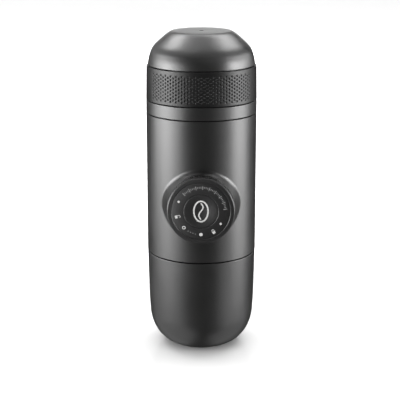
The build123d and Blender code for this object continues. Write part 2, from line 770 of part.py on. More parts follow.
with BuildPart() as tank_liner:
    with BuildSketch(Plane.XZ):
        with BuildLine():
            liner_out = arc_points(12.0, 20.0, 13.6, 17.5, 20.0, 3.2, 8)
            liner_in = arc_points(12.0, 20.0, 12.4, 16.0, 4.6, 20.0, 8)
            Polyline((24.4, 20.0), (24.4, 44.0), (27.5, 44.0), (27.5, 42.85),
                     (25.6, 42.85), (25.6, 20.0))
            Spline(*liner_out)
            Polyline(liner_out[-1], (0, 3.2), (0, 4.6), liner_in[0])
            Spline(*liner_in)
        make_face()
    revolve(axis=Axis.Z)

# ------------------------------------------------------------------- labels
pieces = {
    "body_shell": body_shell, "lower_deck": lower_deck, "lower_seal": lower_seal,
    "pump_body": pump_body, "cylinder_liner": cylinder_liner, "rod_guide": rod_guide,
    "column_seal": column_seal, "inlet_strainer": inlet_strainer,
    "inlet_valve_seat": inlet_valve_seat, "inlet_valve_disc": inlet_valve_disc,
    "outlet_valve_seat": outlet_valve_seat, "outlet_valve_ball": outlet_valve_ball,
    "outlet_valve_spring": outlet_valve_spring,
    "outlet_valve_retainer": outlet_valve_retainer, "air_valve": air_valve,
    "upper_deck": upper_deck, "upper_seal": upper_seal,
    "shower_screen": shower_screen, "shower_screw": shower_screw,
    "group_gasket": group_gasket, "deck_screws": deck_screws,
    "pump_screws": pump_screws, "foot_screws": foot_screws,
    "guide_collar": guide_collar, "lock_ring": lock_ring,
    "return_spring": return_spring, "piston_rod": piston_rod,
    "piston_head": piston_head, "piston_o_rings": piston_o_rings,
    "spring_washer": spring_washer, "knob_screw": knob_screw,
    "knob_cap": knob_cap, "knob_badge": knob_badge,
    "portafilter_gasket": portafilter_gasket, "portafilter": portafilter,
    "filter_basket": filter_basket, "filter_screen": filter_screen, "scoop": scoop,
    "outlet_gasket": outlet_gasket, "outlet_head": outlet_head,
    "outlet_nozzle": outlet_nozzle, "nozzle_seal": nozzle_seal,
    "cup": cup, "cup_seal": cup_seal,
    "tank_gasket": tank_gasket, "tank_shell": tank_shell, "tank_liner": tank_liner,
}
for node, piece in pieces.items():
    piece.part.label = node
    export_step(piece.part, "parts/" + node + ".step")
    print(node, round(piece.part.volume, 1), "mm3", len(piece.part.solids()), "solid(s)")
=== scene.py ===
import bpy, bmesh, math, json
from mathutils import Vector, Matrix


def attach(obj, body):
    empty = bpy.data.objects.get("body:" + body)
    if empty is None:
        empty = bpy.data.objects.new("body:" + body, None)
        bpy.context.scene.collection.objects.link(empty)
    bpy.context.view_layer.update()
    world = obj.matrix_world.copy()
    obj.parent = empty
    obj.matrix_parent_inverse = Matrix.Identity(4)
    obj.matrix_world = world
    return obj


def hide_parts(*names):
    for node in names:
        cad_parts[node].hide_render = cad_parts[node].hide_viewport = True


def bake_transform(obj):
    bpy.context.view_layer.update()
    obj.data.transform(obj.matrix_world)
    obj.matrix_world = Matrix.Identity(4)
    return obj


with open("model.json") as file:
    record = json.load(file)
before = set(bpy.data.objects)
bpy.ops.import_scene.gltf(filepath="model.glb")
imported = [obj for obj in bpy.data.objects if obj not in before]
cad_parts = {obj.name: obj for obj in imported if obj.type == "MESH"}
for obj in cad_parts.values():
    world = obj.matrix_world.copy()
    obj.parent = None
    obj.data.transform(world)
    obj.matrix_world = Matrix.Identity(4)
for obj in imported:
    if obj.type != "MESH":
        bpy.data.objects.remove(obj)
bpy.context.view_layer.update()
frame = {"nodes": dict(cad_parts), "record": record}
N = frame["nodes"]
MM = 0.001
KZ = 85.6                      # height of the pump axis, mm
scene = bpy.context.scene


# ------------------------------------------------------------------ camera
def look_at(obj, target):
    d = Vector(target) - obj.location
    obj.rotation_euler = d.to_track_quat("-Z", "Y").to_euler()


cam_data = bpy.data.cameras.new("camera")
cam = bpy.data.objects.new("camera", cam_data)
scene.collection.objects.link(cam)
cam.location = (0.00397, -0.60758, 0.2454)
cam.rotation_euler = (math.radians(90 - 15.13), 0, math.radians(0.45))
cam_data.sensor_fit = "HORIZONTAL"
cam_data.sensor_width = 36.0
cam_data.lens = 101.85
cam_data.clip_start = 0.01
cam_data.clip_end = 20
scene.camera = cam


# --------------------------------------------------------------- materials
class Tree:
    """A small helper round one material's node tree."""

    def __init__(self, name):
        self.mat = bpy.data.materials.new(name)
        self.mat.use_nodes = True
        self.t = self.mat.node_tree
        self.t.nodes.clear()
        self.out = self.t.nodes.new("ShaderNodeOutputMaterial")
        self.bsdf = self.t.nodes.new("ShaderNodeBsdfPrincipled")
        self.t.links.new(self.bsdf.outputs[0], self.out.inputs[0])
        self.co = self.t.nodes.new("ShaderNodeTexCoord").outputs["Object"]

    def node(self, kind, **attrs):
        n = self.t.nodes.new(kind)
        for k, v in attrs.items():
            setattr(n, k, v)
        return n

    def link(self, a, b):
        self.t.links.new(a, b)

    def noise(self, scale, detail=3.0, rough=0.5, stretch=None):
        n = self.node("ShaderNodeTexNoise")
        n.inputs["Scale"].default_value = scale
        n.inputs["Detail"].default_value = detail
        n.inputs["Roughness"].default_value = rough
        src = self.co
        if stretch:
            m = self.node("ShaderNodeMapping")
            m.inputs["Scale"].default_value = stretch
            self.link(self.co, m.inputs["Vector"])
            src = m.outputs[0]
        self.link(src, n.inputs["Vector"])
        return n.outputs["Fac"]

    def voronoi(self, scale, feature="F1"):
        n = self.node("ShaderNodeTexVoronoi", feature=feature)
        n.inputs["Scale"].default_value = scale
        self.link(self.co, n.inputs["Vector"])
        return n.outputs[0]

    def ramp(self, fac, stops):
        n = self.node("ShaderNodeValToRGB")
        els = n.color_ramp.elements
        while len(els) < len(stops):
            els.new(0.5)
        for e, (p, c) in zip(els, stops):
            e.position = p
            e.color = (*c, 1.0) if len(c) == 3 else c
        self.link(fac, n.inputs[0])
        return n.outputs[0]

    def remap(self, fac, lo, hi, a=0.0, b=1.0):
        n = self.node("ShaderNodeMapRange")
        n.inputs["From Min"].default_value = a
        n.inputs["From Max"].default_value = b
        n.inputs["To Min"].default_value = lo
        n.inputs["To Max"].default_value = hi
        self.link(fac, n.inputs["Value"])
        return n.outputs[0]

    def math(self, op, a, b):
        n = self.node("ShaderNodeMath", operation=op)
        for k, v in ((0, a), (1, b)):
            if isinstance(v, (int, float)):
                n.inputs[k].default_value = v
            else:
                self.link(v, n.inputs[k])
        return n.outputs[0]

    def bump(self, height, strength, distance, under=None):
        n = self.node("ShaderNodeBump")
        n.inputs["Strength"].default_value = strength
        n.inputs["Distance"].default_value = distance
        self.link(height, n.inputs["Height"])
        if under is not None:
            self.link(under, n.inputs["Normal"])
        return n.outputs[0]

    def finish(self, color=None, rough=None, normal=None, **fixed):
        if color is not None:
            self.link(color, self.bsdf.inputs["Base Color"])
        if rough is not None:
            self.link(rough, self.bsdf.inputs["Roughness"])
        if normal is not None:
            self.link(normal, self.bsdf.inputs["Normal"])
        for k, v in fixed.items():
            self.bsdf.inputs[k.replace("_", " ")].default_value = v
        return self.mat


def satin_metal_paint(name, base, rough, metallic, grain=1.0, wear=0.0):
    """Satin metallic lacquer over moulded plastic: fine flake, faint orange peel, slow cloudiness."""
    t = Tree(name)
    cloud = t.noise(38, 3, 0.55)
    flake = t.voronoi(5200)
    fine = t.noise(2600, 2, 0.6)
    mix = t.math("ADD", t.math("MULTIPLY", cloud, 0.5), t.math("MULTIPLY", flake, 0.5))
    d = 0.06
    lo = tuple(c * (1 - d) for c in base)
    hi = tuple(c * (1 + d) for c in base)
    color = t.ramp(mix, [(0.25, lo), (0.75, hi)])
    r = t.math("ADD", t.remap(cloud, rough - 0.025, rough + 0.025, 0.3, 0.7),
               t.remap(fine, -0.02, 0.02, 0.3, 0.7))
    peel = t.noise(900, 2, 0.5)
    nb = t.bump(fine, 0.10 * grain, 0.00006)
    nb = t.bump(peel, 0.05 * grain, 0.00020, nb)
    return t.finish(color, r, nb, Metallic=metallic)


def moulded(name, base, rough, spread=0.12, bump=0.12, scale=1500, metallic=0.0, ior=1.48):
    """Injection-moulded plastic with a fine spark-eroded grain."""
    t = Tree(name)
    cloud = t.noise(45, 4, 0.6)
    grain = t.voronoi(scale)
    color = t.ramp(cloud, [(0.3, tuple(c * (1 - spread) for c in base)),
                           (0.7, tuple(c * (1 + spread) for c in base))])
    r = t.remap(grain, rough - 0.05, rough + 0.05, 0.0, 0.8)
    nb = t.bump(grain, bump, 0.00005)
    nb = t.bump(t.noise(260, 2), 0.04, 0.0003, nb)
    return t.finish(color, r, nb, Metallic=metallic, IOR=ior)


def rubber(name, base, rough=0.62):
    t = Tree(name)
    cloud = t.noise(120, 4, 0.65)
    dust = t.noise(900, 3, 0.7)
    color = t.ramp(cloud, [(0.3, base), (0.75, tuple(c * 1.5 + 0.004 for c in base))])
    r = t.remap(dust, rough - 0.08, rough + 0.08, 0.3, 0.7)
    nb = t.bump(dust, 0.18, 0.00005)
    return t.finish(color, r, nb, IOR=1.42)


def steel(name, base, rough, stretch, scale=1800, depth=0.10):
    """Stainless steel with the fine lines of turning or brushing."""
    t = Tree(name)
    lines = t.noise(scale, 3, 0.6, stretch)
    cloud = t.noise(60, 3)
    color = t.ramp(lines, [(0.25, tuple(c * 0.86 for c in base)), (0.75, tuple(min(1, c * 1.08) for c in base))])
    r = t.math("ADD", t.remap(lines, rough - 0.05, rough + 0.06, 0.3, 0.7),
               t.remap(cloud, -0.03, 0.03, 0.3, 0.7))
    nb = t.bump(lines, depth, 0.00004)
    return t.finish(color, r, nb, Metallic=1.0)


def ink(name, base, rough=0.55):
    """Pad-printed ink: slightly uneven cover and a dry sheen."""
    t = Tree(name)
    n = t.noise(1600, 3, 0.6)
    color = t.ramp(n, [(0.25, tuple(c * 0.86 for c in base)), (0.6, base)])
    r = t.remap(n, rough - 0.06, rough + 0.08, 0.3, 0.7)
    nb = t.bump(n, 0.12, 0.00003)
    return t.finish(color, r, nb)


GUN = (0.200, 0.200, 0.200)
mat_shell = satin_metal_paint("shell_paint", GUN, 0.40, 1.0)
mat_ring = satin_metal_paint("ring_paint", GUN, 0.40, 1.0)
mat_cup = satin_metal_paint("cup_paint", GUN, 0.40, 1.0)
mat_tank = satin_metal_paint("tank_paint", GUN, 0.40, 1.0)
mat_head = satin_metal_paint("head_paint", (0.106, 0.106, 0.106), 0.42, 1.0)
mat_inside = moulded("inside_black", (0.030, 0.030, 0.032), 0.46)
mat_liner = moulded("liner_dark", (0.050, 0.050, 0.053), 0.36, bump=0.05)
mat_knob = satin_metal_paint("knob_paint", (0.130, 0.130, 0.130), 0.45, 1.0)
mat_dish = satin_metal_paint("dish_paint", (0.150, 0.150, 0.150), 0.42, 1.0)
mat_scoop = moulded("scoop_black", (0.020, 0.020, 0.021), 0.40)
mat_seal = rubber("seal_rubber", (0.022, 0.022, 0.023))
mat_steel = steel("steel_turned", (0.62, 0.61, 0.60), 0.26, (1, 1, 14))
mat_steel_flat = steel("steel_brushed", (0.60, 0.60, 0.60), 0.30, (18, 1, 1))
mat_spring = steel("steel_spring", (0.52, 0.52, 0.53), 0.30, (1, 1, 1), 2600)
mat_ink = ink("ink_white", (0.60, 0.60, 0.59))
mat_ink_grey = ink("ink_grey", (0.30, 0.30, 0.30))

SLOT_MAT = {
    "shell_plastic": mat_shell, "ring_plastic": mat_ring, "head_plastic": mat_head,
    "cup_plastic": mat_cup, "tank_plastic": mat_tank, "knob_plastic": mat_knob,
    "inner_plastic": mat_inside, "liner_plastic": mat_liner, "scoop_plastic": mat_scoop,
    "seal_rubber": mat_seal, "steel": mat_steel,
}
for sub in frame["record"]["subparts"]:
    o = N[sub["node"]]
    m = SLOT_MAT[sub["material_slot"]]
    if sub["node"] in ("filter_screen", "shower_screen", "inlet_strainer", "spring_washer"):
        m = mat_steel_flat
    o.data.materials.clear()
    o.data.materials.append(m)


# ------------------------------------------------------------ mesh helpers
def make_object(name, verts, faces, mats, body, nodes=(), sharp=32.0,
                face_mats=None):
    me = bpy.data.meshes.new(name)
    me.from_pydata([tuple(c * MM for c in v) for v in verts], [], faces)
    bm = bmesh.new()
    bm.from_mesh(me)
    bmesh.ops.remove_doubles(bm, verts=bm.verts, dist=1e-7)
    if face_mats is None:
        bmesh.ops.recalc_face_normals(bm, faces=bm.faces)
    bm.to_mesh(me)
    bm.free()
    for m in mats:
        me.materials.append(m)
    if face_mats is not None:
        me.polygons.foreach_set("material_index", face_mats)
    me.shade_smooth()
    me.set_sharp_from_angle(angle=math.radians(sharp))
    o = bpy.data.objects.new(name, me)
    scene.collection.objects.link(o)
    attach(o, body)
    if nodes:
        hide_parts(*nodes)
    return o


def rounded(points, closed, seg=4, support=0.12):
    """Profile corners (a, b, radius) turned into a dense line of points, with a
    support point beside every arc so that smooth shading stays flat between them."""
    out = []
    n = len(points)
    for i, p in enumerate(points):
        rad = p[2] if len(p) > 2 else 0.0
        if rad <= 0 or (not closed and i in (0, n - 1)):
            out.append((p[0], p[1]))
            continue
        a = Vector(points[(i - 1) % n][:2]) - Vector(p[:2])
        b = Vector(points[(i + 1) % n][:2]) - Vector(p[:2])
        la, lb = a.length, b.length
        a.normalize()
        b.normalize()
        half = math.acos(max(-1, min(1, a.dot(b)))) / 2
        cut = min(rad / math.tan(half), 0.45 * la, 0.45 * lb)
        r = cut * math.tan(half)
        s = Vector(p[:2]) + a * cut
        e = Vector(p[:2]) + b * cut
        c = Vector(p[:2]) + (a + b).normalized() * (r / math.sin(half))
        if la > cut * 2 + support:
            out.append(tuple(s + a * support))
        va, vb = s - c, e - c
        ang = va.angle(vb) if va.length and vb.length else 0
        sign = 1 if (va.x * vb.y - va.y * vb.x) > 0 else -1
        for k in range(seg + 1):
            t = sign * ang * k / seg
            out.append((c.x + va.x * math.cos(t) - va.y * math.sin(t),
                        c.y + va.x * math.sin(t) + va.y * math.cos(t)))
        if lb > cut * 2 + support:
            out.append(tuple(e + b * support))
    return out


def lathe(profile, n=192, closed=True, axis="Z", offset=0, start=0.0):
    """Verts and faces of a profile (r, h) turned about Z, or about the pump axis (h is y)."""
    verts, faces, rows = [], [], []
    for r, h in profile:
        if abs(r) < 1e-6:
            rows.append([offset + len(verts)])
            verts.append((0, 0, h) if axis == "Z" else (0, h, KZ))
            continue
        row = []
        for k in range(n):
            a = start + 2 * math.pi * k / n
            row.append(offset + len(verts))
            if axis == "Z":
                verts.append((r * math.cos(a), r * math.sin(a), h))
            else:
                verts.append((r * math.cos(a), h, KZ + r * math.sin(a)))
        rows.append(row)
    m = len(rows)
    for i in range(m if closed else m - 1):
        p, q = rows[i], rows[(i + 1) % m]
        if len(p) == 1 and len(q) == 1:
            continue
        for k in range(n):
            k2 = (k + 1) % n
            if len(p) == 1:
                faces.append((p[0], q[k2], q[k]))
            elif len(q) == 1:
                faces.append((p[k], p[k2], q[0]))
            else:
                faces.append((p[k], p[k2], q[k2], q[k]))
    return verts, faces


def join(*meshes):
    verts, faces = [], []
    for v, f in meshes:
        k = len(verts)
        verts += v
        faces += [tuple(i + k for i in g) for g in f]
    return verts, faces


def thread_rib(r_base, r_crest, z0, turn_deg, span=300.0, lead=6.0, step=5.0):
    """One helical rib with blunt, run-out ends, matching the CAD rib."""
    verts, faces = [], []
    s = 1 if r_crest > r_base else -1
    prof = [(r_base - s * 0.02, -0.76), (r_crest - s * 0.08, -0.49), (r_crest, -0.40),
            (r_crest, 0.40), (r_crest - s * 0.08, 0.49), (r_base - s * 0.02, 0.76)]
    n = int(span / step) + 1
    for k in range(n):
        a = span * k / (n - 1)
        near = min(a, span - a)
        grow = min(1.0, 0.25 + near / 10.0)
        z = z0 + lead * a / 360
        th = math.radians(turn_deg + a)
        for r, dz in prof:
            rr = r_base - s * 0.02 + (r - (r_base - s * 0.02)) * grow
            verts.append((rr * math.cos(th), rr * math.sin(th), z + dz))
    p = len(prof)
    for k in range(n - 1):
        for j in range(p):
            j2 = (j + 1) % p
            faces.append((k * p + j, k * p + j2, (k + 1) * p + j2, (k + 1) * p + j))
    faces.append(tuple(range(p)))
    faces.append(tuple((n - 1) * p + j for j in reversed(range(p))))
    return verts, faces


def spline_points(pts, per=6):
    """Catmull-Rom through the points."""
    out = []
    n = len(pts)
    for i in range(n - 1):
        p0 = Vector(pts[max(i - 1, 0)])
        p1 = Vector(pts[i])
        p2 = Vector(pts[i + 1])
        p3 = Vector(pts[min(i + 2, n - 1)])
        for k in range(per):
            t = k / per
            q = 0.5 * ((2 * p1) + (p2 - p0) * t + (2 * p0 - 5 * p1 + 4 * p2 - p3) * t * t
                       + (3 * p1 - p0 - 3 * p2 + p3) * t ** 3)
            out.append((q.x, q.y))
    out.append(tuple(pts[-1]))
    return out


# --------------------------------------------------------------------- cup
cup_outer = spline_points([
    (28.84, 158.30), (28.76, 158.84), (28.52, 160.27), (28.19, 161.68), (27.76, 163.07),
    (27.28, 164.44), (26.63, 165.72), (25.82, 166.91), (24.87, 168.00), (23.85, 169.02),
    (22.78, 170.02), (21.68, 171.00), (20.57, 171.97), (19.43, 172.93), (18.24, 173.83),
    (17.60, 174.25)], 4)
cup_inner = spline_points([
    (12.0, 173.0), (15.0, 172.4), (17.9, 171.0), (20.6, 169.2), (22.7, 167.2),
    (24.2, 165.0), (25.1, 162.6), (25.4, 160.0)], 4)
prof = ([(0, 173.8), (0.95, 173.8), (1.05, 173.84), (1.10, 173.95), (1.14, 174.78),
         (1.19, 174.93), (1.29, 174.99), (1.45, 175.0), (1.8, 175.0)]
        + [(8, 175.0), (15.2, 175.0), (15.7, 174.985), (16.2, 174.91), (16.65, 174.76),
           (17.05, 174.57), (17.35, 174.40)]
        + list(reversed(cup_outer))
        + rounded([(28.93, 157.7), (28.98, 157.2, 0.28), (27.2, 157.2, 0.2), (27.2, 154.4, 0.08),
                   (26.5, 154.4, 0.1), (26.5, 153.2, 0.1), (27.2, 153.2, 0.08), (27.2, 151.9, 0.35),
                   (25.4, 151.9, 0.5), (25.4, 155.0)], False, 4)
        + list(reversed(cup_inner))[:1] + list(reversed(cup_inner))[1:]
        + [(6.0, 173.0), (0, 173.0)])
v, f = lathe(prof, 256, closed=False)
make_object("cup_body", v, f, [mat_cup], "cup_unit", ["cup"], 40)

# -------------------------------------------------------------------- tank
def quarter(r_mid, z_mid, a, b, z_from, z_to, count):
    """Points of a quarter ellipse, evenly spread in angle between two heights."""
    t0 = math.asin((z_mid - z_from) / b)
    t1 = math.asin((z_mid - z_to) / b)
    pts = []
    for k in range(count + 1):
        t = t0 + (t1 - t0) * k / count
        pts.append((r_mid + a * math.cos(t), z_mid - b * math.sin(t)))
    return pts


def bezier(p0, p1, p2, p3, n):
    """n + 1 points along one cubic curve."""
    pts = []
    for k in range(n + 1):
        t = k / n
        c = ((1 - t) ** 3, 3 * t * (1 - t) ** 2, 3 * t * t * (1 - t), t ** 3)
        pts.append(tuple(sum(w * q[i] for w, q in zip(c, (p0, p1, p2, p3))) for i in (0, 1)))
    return pts


tank_out = bezier((15.7, 0.0), (18.0, 0.0), (28.01, 4.4), (28.87, 18.8), 30)
tank_out += [(28.98, 20.6), (29.12, 23.0), (29.25, 25.4), (29.34, 27.6)]
prof = ([(0, 0), (8, 0), (14.5, 0)] + tank_out
        + rounded([(29.42, 30.0), (29.9, 53.4, 0.28), (27.6, 53.4, 0.25), (27.6, 42.8, 0.1),
                   (26.9, 42.8, 0.1), (26.9, 22.0)], False, 4)
        + quarter(12, 20, 14.9, 18.4, 20, 1.8, 10) + [(6, 1.8), (0, 1.8)])
parts = [lathe(prof, 256, closed=False)]
for k in range(2):
    parts.append(thread_rib(27.6, 26.7, 46.2 + 0.5, -60 + 180 * k))
v, f = join(*parts)
make_object("tank_body", v, f, [mat_tank], "tank_unit", ["tank_shell"], 40)

# -------------------------------------------------------------- portafilter
prof = rounded([
    (24.6, 122.5, 0.2), (26.4, 122.5, 0.3), (26.4, 131.5, 0.15), (30.0, 131.5, 0.26),
    (30.0, 138.3, 0.26), (26.4, 138.3, 0.15), (26.4, 147.3, 0.3), (22.6, 147.3, 0.3),
    (22.6, 124.0, 0.15), (24.6, 124.0, 0.1)], True, 4)
parts = [lathe(prof, 256)]
for k in range(2):
    parts.append(thread_rib(26.4, 27.3, 123.8, 180 * k))
    parts.append(thread_rib(26.4, 27.3, 139.9, 180 * k))
v, f = join(*parts)
make_object("portafilter_ring", v, f, [mat_ring], "portafilter_unit", ["portafilter"],
            40)

# -------------------------------------------- outlet head with dimpled grip
COLS = 112                # half columns round the ring
PER = 2                   # lattice steps across one column
DZ = 0.474                # lattice step in height
ZC = 147.42
PATCH = 18                # dimpled columns to each side of the front and of the back
R = 30.0
GRIP_N = COLS * PER
K0, K1 = -16, 16


def head_r(z):
    """The head narrows a little towards its upper edge."""
    return R - 0.30 * max(0.0, min(1.0, (z - 138.7) / 18.1))


def grip_mesh():
    verts, faces = [], []
    lattice = {}

    def at(i, k):
        i %= GRIP_N
        if (i, k) not in lattice:
            a = 2 * math.pi * (i - 1) / GRIP_N - math.pi / 2
            lattice[(i, k)] = len(verts)
            rr = head_r(ZC + DZ * k)
            verts.append((rr * math.cos(a), rr * math.sin(a), ZC + DZ * k))
        return lattice[(i, k)]

    rings = ((0.58, 0.0), (0.525, 0.03), (0.45, 0.13), (0.32, 0.26), (0.16, 0.33))
    for c in range(COLS):
        odd = c % 2
        centres = list(range(-14, 15, 4)) if not odd else list(range(-12, 13, 4))
        if min(c, COLS - c, abs(c - COLS // 2)) > PATCH:
            centres = []      # plain at the sides
        i0 = c * PER
        used = set()
        for kc in centres:
            used.update(range(kc - 2, kc + 2))
            border = [(0, -2), (1, -2), (2, -2), (2, -1), (2, 0), (2, 1), (2, 2), (1, 2),
                      (0, 2), (0, 1), (0, 0), (0, -1)]
            outer = [at(i0 + di, kc + dk) for di, dk in border]
            mid = 2 * math.pi * i0 / GRIP_N - math.pi / 2
            zc = ZC + DZ * kc
            prev = outer
            for rad, depth in rings:
                ring = []
                for di, dk in border:
                    # even spread of angles, matched to the border's order
                    idx = border.index((di, dk))
                    ang = math.radians(-135 + 30 * idx + (0 if idx % 3 == 0 else 0))
                    ds, dz = rad * math.cos(ang), rad * math.sin(ang)
                    th = mid + ds / R
                    rr = head_r(zc + dz) - depth
                    ring.append(len(verts))
                    verts.append((rr * math.cos(th), rr * math.sin(th), zc + dz))
                for j in range(12):
                    j2 = (j + 1) % 12
                    faces.append((prev[j], prev[j2], ring[j2], ring[j]))
                prev = ring
            rr = head_r(zc) - 0.36
            centre = len(verts)
            verts.append((rr * math.cos(mid), rr * math.sin(mid), zc))
            for j in range(12):
                faces.append((prev[j], prev[(j + 1) % 12], centre))
        for k in range(K0, K1):
            if k in used:
                continue
            for d in range(PER):
                i = i0 + d
                faces.append((at(i, k), at(i + 1, k), at(i + 1, k + 1), at(i, k + 1)))
    return verts, faces, lattice


gv, gf, lattice = grip_mesh()
# the rest of the ring: from the grip's upper edge over the rim, down inside and back
rest = rounded([
    (head_r(ZC + DZ * K1), ZC + DZ * K1), (29.7, 156.8, 0.26), (27.6, 156.8, 0.3), (27.6, 151.2, 0.3),
    (8.0, 152.0, 0.8), (8.0, 153.5, 0.3), (6.2, 153.5, 0.2), (6.2, 150.0, 0.3),
    (22.0, 148.6, 0.6), (27.6, 148.6, 0.4), (27.6, 138.7, 0.25), (30.0, 138.7, 0.26),
    (head_r(ZC + DZ * K0), ZC + DZ * K0)], False, 4)
rv, rf = lathe(rest, GRIP_N, closed=False, start=-math.pi / 2)
parts = [(gv, gf), (rv, rf)]
for k in range(2):
    parts.append(thread_rib(27.6, 26.7, 139.9 + 0.5, -60 + 180 * k))
v, f = join(*parts)
make_object("outlet_head_grip", v, f, [mat_head], "outlet_unit", ["outlet_head"],
            50)

# -------------------------------------------------------------------- knob
def face_drop(r):
    """The face of the knob falls away gently from its inner edge."""
    return 0.62 * (max(0.0, r - 9.4) / 5.9) ** 1.8


def flute(a):
    """Depth share of the 90 fine notches round the flank, by angle."""
    d = abs((a / (2 * math.pi) * 90 + 0.5) % 1.0 - 0.5) / 90 * 360
    return max(0.0, 1 - (d / 0.95) ** 2)


def notched(profile, n, y0, y1, depth):
    """The knob's profile (r, y) turned about the pump axis, notched between y0 and y1."""
    verts, faces = [], []
    waves = [flute(2 * math.pi * k / n) for k in range(n)]
    for r, y in profile:
        cutting = depth if r > 17 and y0 <= y <= y1 else 0.0
        for k in range(n):
            a = 2 * math.pi * k / n
            rr = r - cutting * waves[k]
            verts.append((rr * math.cos(a), y, KZ + rr * math.sin(a)))
    m = len(profile)
    for i in range(m):
        p, q = i * n, ((i + 1) % m) * n
        for k in range(n):
            k2 = (k + 1) % n
            faces.append((p + k, p + k2, q + k2, q + k))
    return verts, faces


face_prof = [(9.15, -38.75), (9.15, -39.86), (9.22, -39.95), (9.36, -40.0), (9.6, -40.0)]
face_prof += [(r, -40.0 + face_drop(r)) for r in (10.4, 11.2, 12.0, 12.8, 13.6, 14.4, 14.9)]
knob_prof = face_prof + rounded([
    (15.05, -40.0 + face_drop(15.05)), (15.35, -39.36, 0.06), (15.66, -39.70, 0.06),
    (17.30, -39.60, 0.10), (17.85, -39.15, 0.12), (17.85, -38.85)], False, 4, 0.05)
knob_prof += [(17.85, -38.80), (17.85, -38.75), (17.85, -34.15), (17.85, -34.10)]
knob_prof += rounded([
    (17.85, -34.0), (17.85, -33.4, 0.30),
    (14.6, -33.4, 0.2), (14.6, 0.0, 0.4), (12.9, 0.0, 0.3), (12.9, -35.4, 0.4),
    (7.0, -35.4, 0.3), (7.0, -33.0, 0.2), (4.3, -33.0, 0.2), (4.3, -37.2, 0.1),
    (6.4, -37.2, 0.1), (6.4, -38.75, 0.1), (9.1, -38.75)], False, 4)
v, f = notched(knob_prof, 1080, -38.76, -34.14, 0.30)
lug = []
for k in range(3):
    mid = 90 + 120 * k
    n = 9
    lv, lf = [], []
    for y in (-4.0, -3.8, -0.2, 0.0):
        for r in (14.3, 15.95 if y in (-3.8, -0.2) else 15.75):
            for j in range(n):
                a = math.radians(mid - 12 + 24 * j / (n - 1))
                lv.append((r * math.cos(a), y, KZ + r * math.sin(a)))
    for yi in range(3):
        for j in range(n - 1):
            for ri in (0, 1):
                a = (yi * 2 + ri) * n + j
                b = ((yi + 1) * 2 + ri) * n + j
                lf.append((a, a + 1, b + 1, b))
        for j in (0, n - 1):
            a, b = (yi * 2) * n + j, (yi * 2 + 1) * n + j
            c, d = ((yi + 1) * 2) * n + j, ((yi + 1) * 2 + 1) * n + j
            lf.append((a, b, d, c))
    for yi in (0, 3):
        for j in range(n - 1):
            a, b = (yi * 2) * n + j, (yi * 2 + 1) * n + j
            lf.append((a, a + 1, b + 1, b))
    lug.append((lv, lf))
v, f = join((v, f), *lug)
knob_body = make_object("knob_body", v, f, [mat_knob], "knob", ["knob_cap"], 36)

def bowl(r):
    """Front of the sunk centre: steepest two thirds of the way out, level at its edge."""
    q = min(r, 9.05) / 9.05
    return -39.10 - 0.80 * (3 * q * q - 2 * q ** 3) ** 1.15


dish = [(0, bowl(0))]
for k in range(1, 29):
    r = 9.05 * k / 29
    dish.append((r, bowl(r)))
dish += [(8.86, -39.885), (8.98, -39.87), (9.05, -39.8), (9.05, -38.85), (0, -38.85)]
v, f = lathe(dish, 192, closed=False, axis="Y")
knob_dish = make_object("knob_dish", v, f, [mat_dish], "knob", ["knob_badge"], 40)


# ----------------------------------------------------- printed marks (knob)
def face_y(x, z):
    return -40.0 + face_drop(math.hypot(x, z - KZ)) + 0.008


def flat_ring(cx, cz, r_in, r_out, y_of, n=40, h=0.03):
    """A raised ring of ink lying on y_of(x, z)."""
    verts, faces = [], []
    for lift in (0.0, h):
        for r in (r_in, r_out):
            for k in range(n):
                a = 2 * math.pi * k / n
                x, z = cx + r * math.cos(a), cz + r * math.sin(a)
                verts.append((x, y_of(x, z) - lift, z))

    def idx(layer, ring, k):
        return (layer * 2 + ring) * n + k % n
    for k in range(n):
        for layer in (0, 1):
            faces.append((idx(layer, 0, k), idx(layer, 0, k + 1), idx(layer, 1, k + 1), idx(layer, 1, k)))
        for ring in (0, 1):
            faces.append((idx(0, ring, k), idx(0, ring, k + 1), idx(1, ring, k + 1), idx(1, ring, k)))
    return verts, faces


def flat_disc(cx, cz, r, y_of, n=32, h=0.03):
    """A raised dot of ink lying on y_of(x, z)."""
    verts, faces = [], []
    for lift in (0.0, h):
        base = len(verts)
        verts.append((cx, y_of(cx, cz) - lift, cz))
        for share in (0.5, 1.0):
            for k in range(n):
                a = 2 * math.pi * k / n
                x, z = cx + share * r * math.cos(a), cz + share * r * math.sin(a)
                verts.append((x, y_of(x, z) - lift, z))
        for k in range(n):
            k2 = (k + 1) % n
            faces.append((base, base + 1 + k, base + 1 + k2))
            faces.append((base + 1 + k, base + 1 + n + k, base + 1 + n + k2, base + 1 + k2))
    top = 1 + 2 * n
    for k in range(n):
        k2 = (k + 1) % n
        faces.append((1 + n + k, 1 + n + k2, top + 1 + n + k2, top + 1 + n + k))
    return verts, faces


def stroke(points, width, y_of, h=0.03, closed=False):
    """A flat printed line of constant width through 2-D points (x, z), lying on y_of(x, z)."""
    verts, faces = [], []
    n = len(points)
    for i, p in enumerate(points):
        a = Vector(points[(i - 1) % n] if closed or i else points[i])
        b = Vector(points[(i + 1) % n] if closed or i < n - 1 else points[i])
        d = b - a
        d = d.normalized() if d.length else Vector((1, 0))
        side = Vector((-d.y, d.x)) * width / 2
        for s in (1, -1):
            q = Vector(p) + side * s
            for lift in (0.0, h):
                verts.append((q.x, y_of(q.x, q.y) - lift, q.y))
    m = n if closed else n - 1
    for i in range(m):
        a, b = 4 * i, 4 * ((i + 1) % n)
        faces += [(a, b, b + 1, a + 1), (a + 1, b + 1, b + 3, a + 3),
                  (a + 3, b + 3, b + 2, a + 2), (a + 2, b + 2, b, a)]
    if not closed:
        for a in (0, 4 * (n - 1)):
            faces.append((a, a + 1, a + 3, a + 2))
    return verts, faces


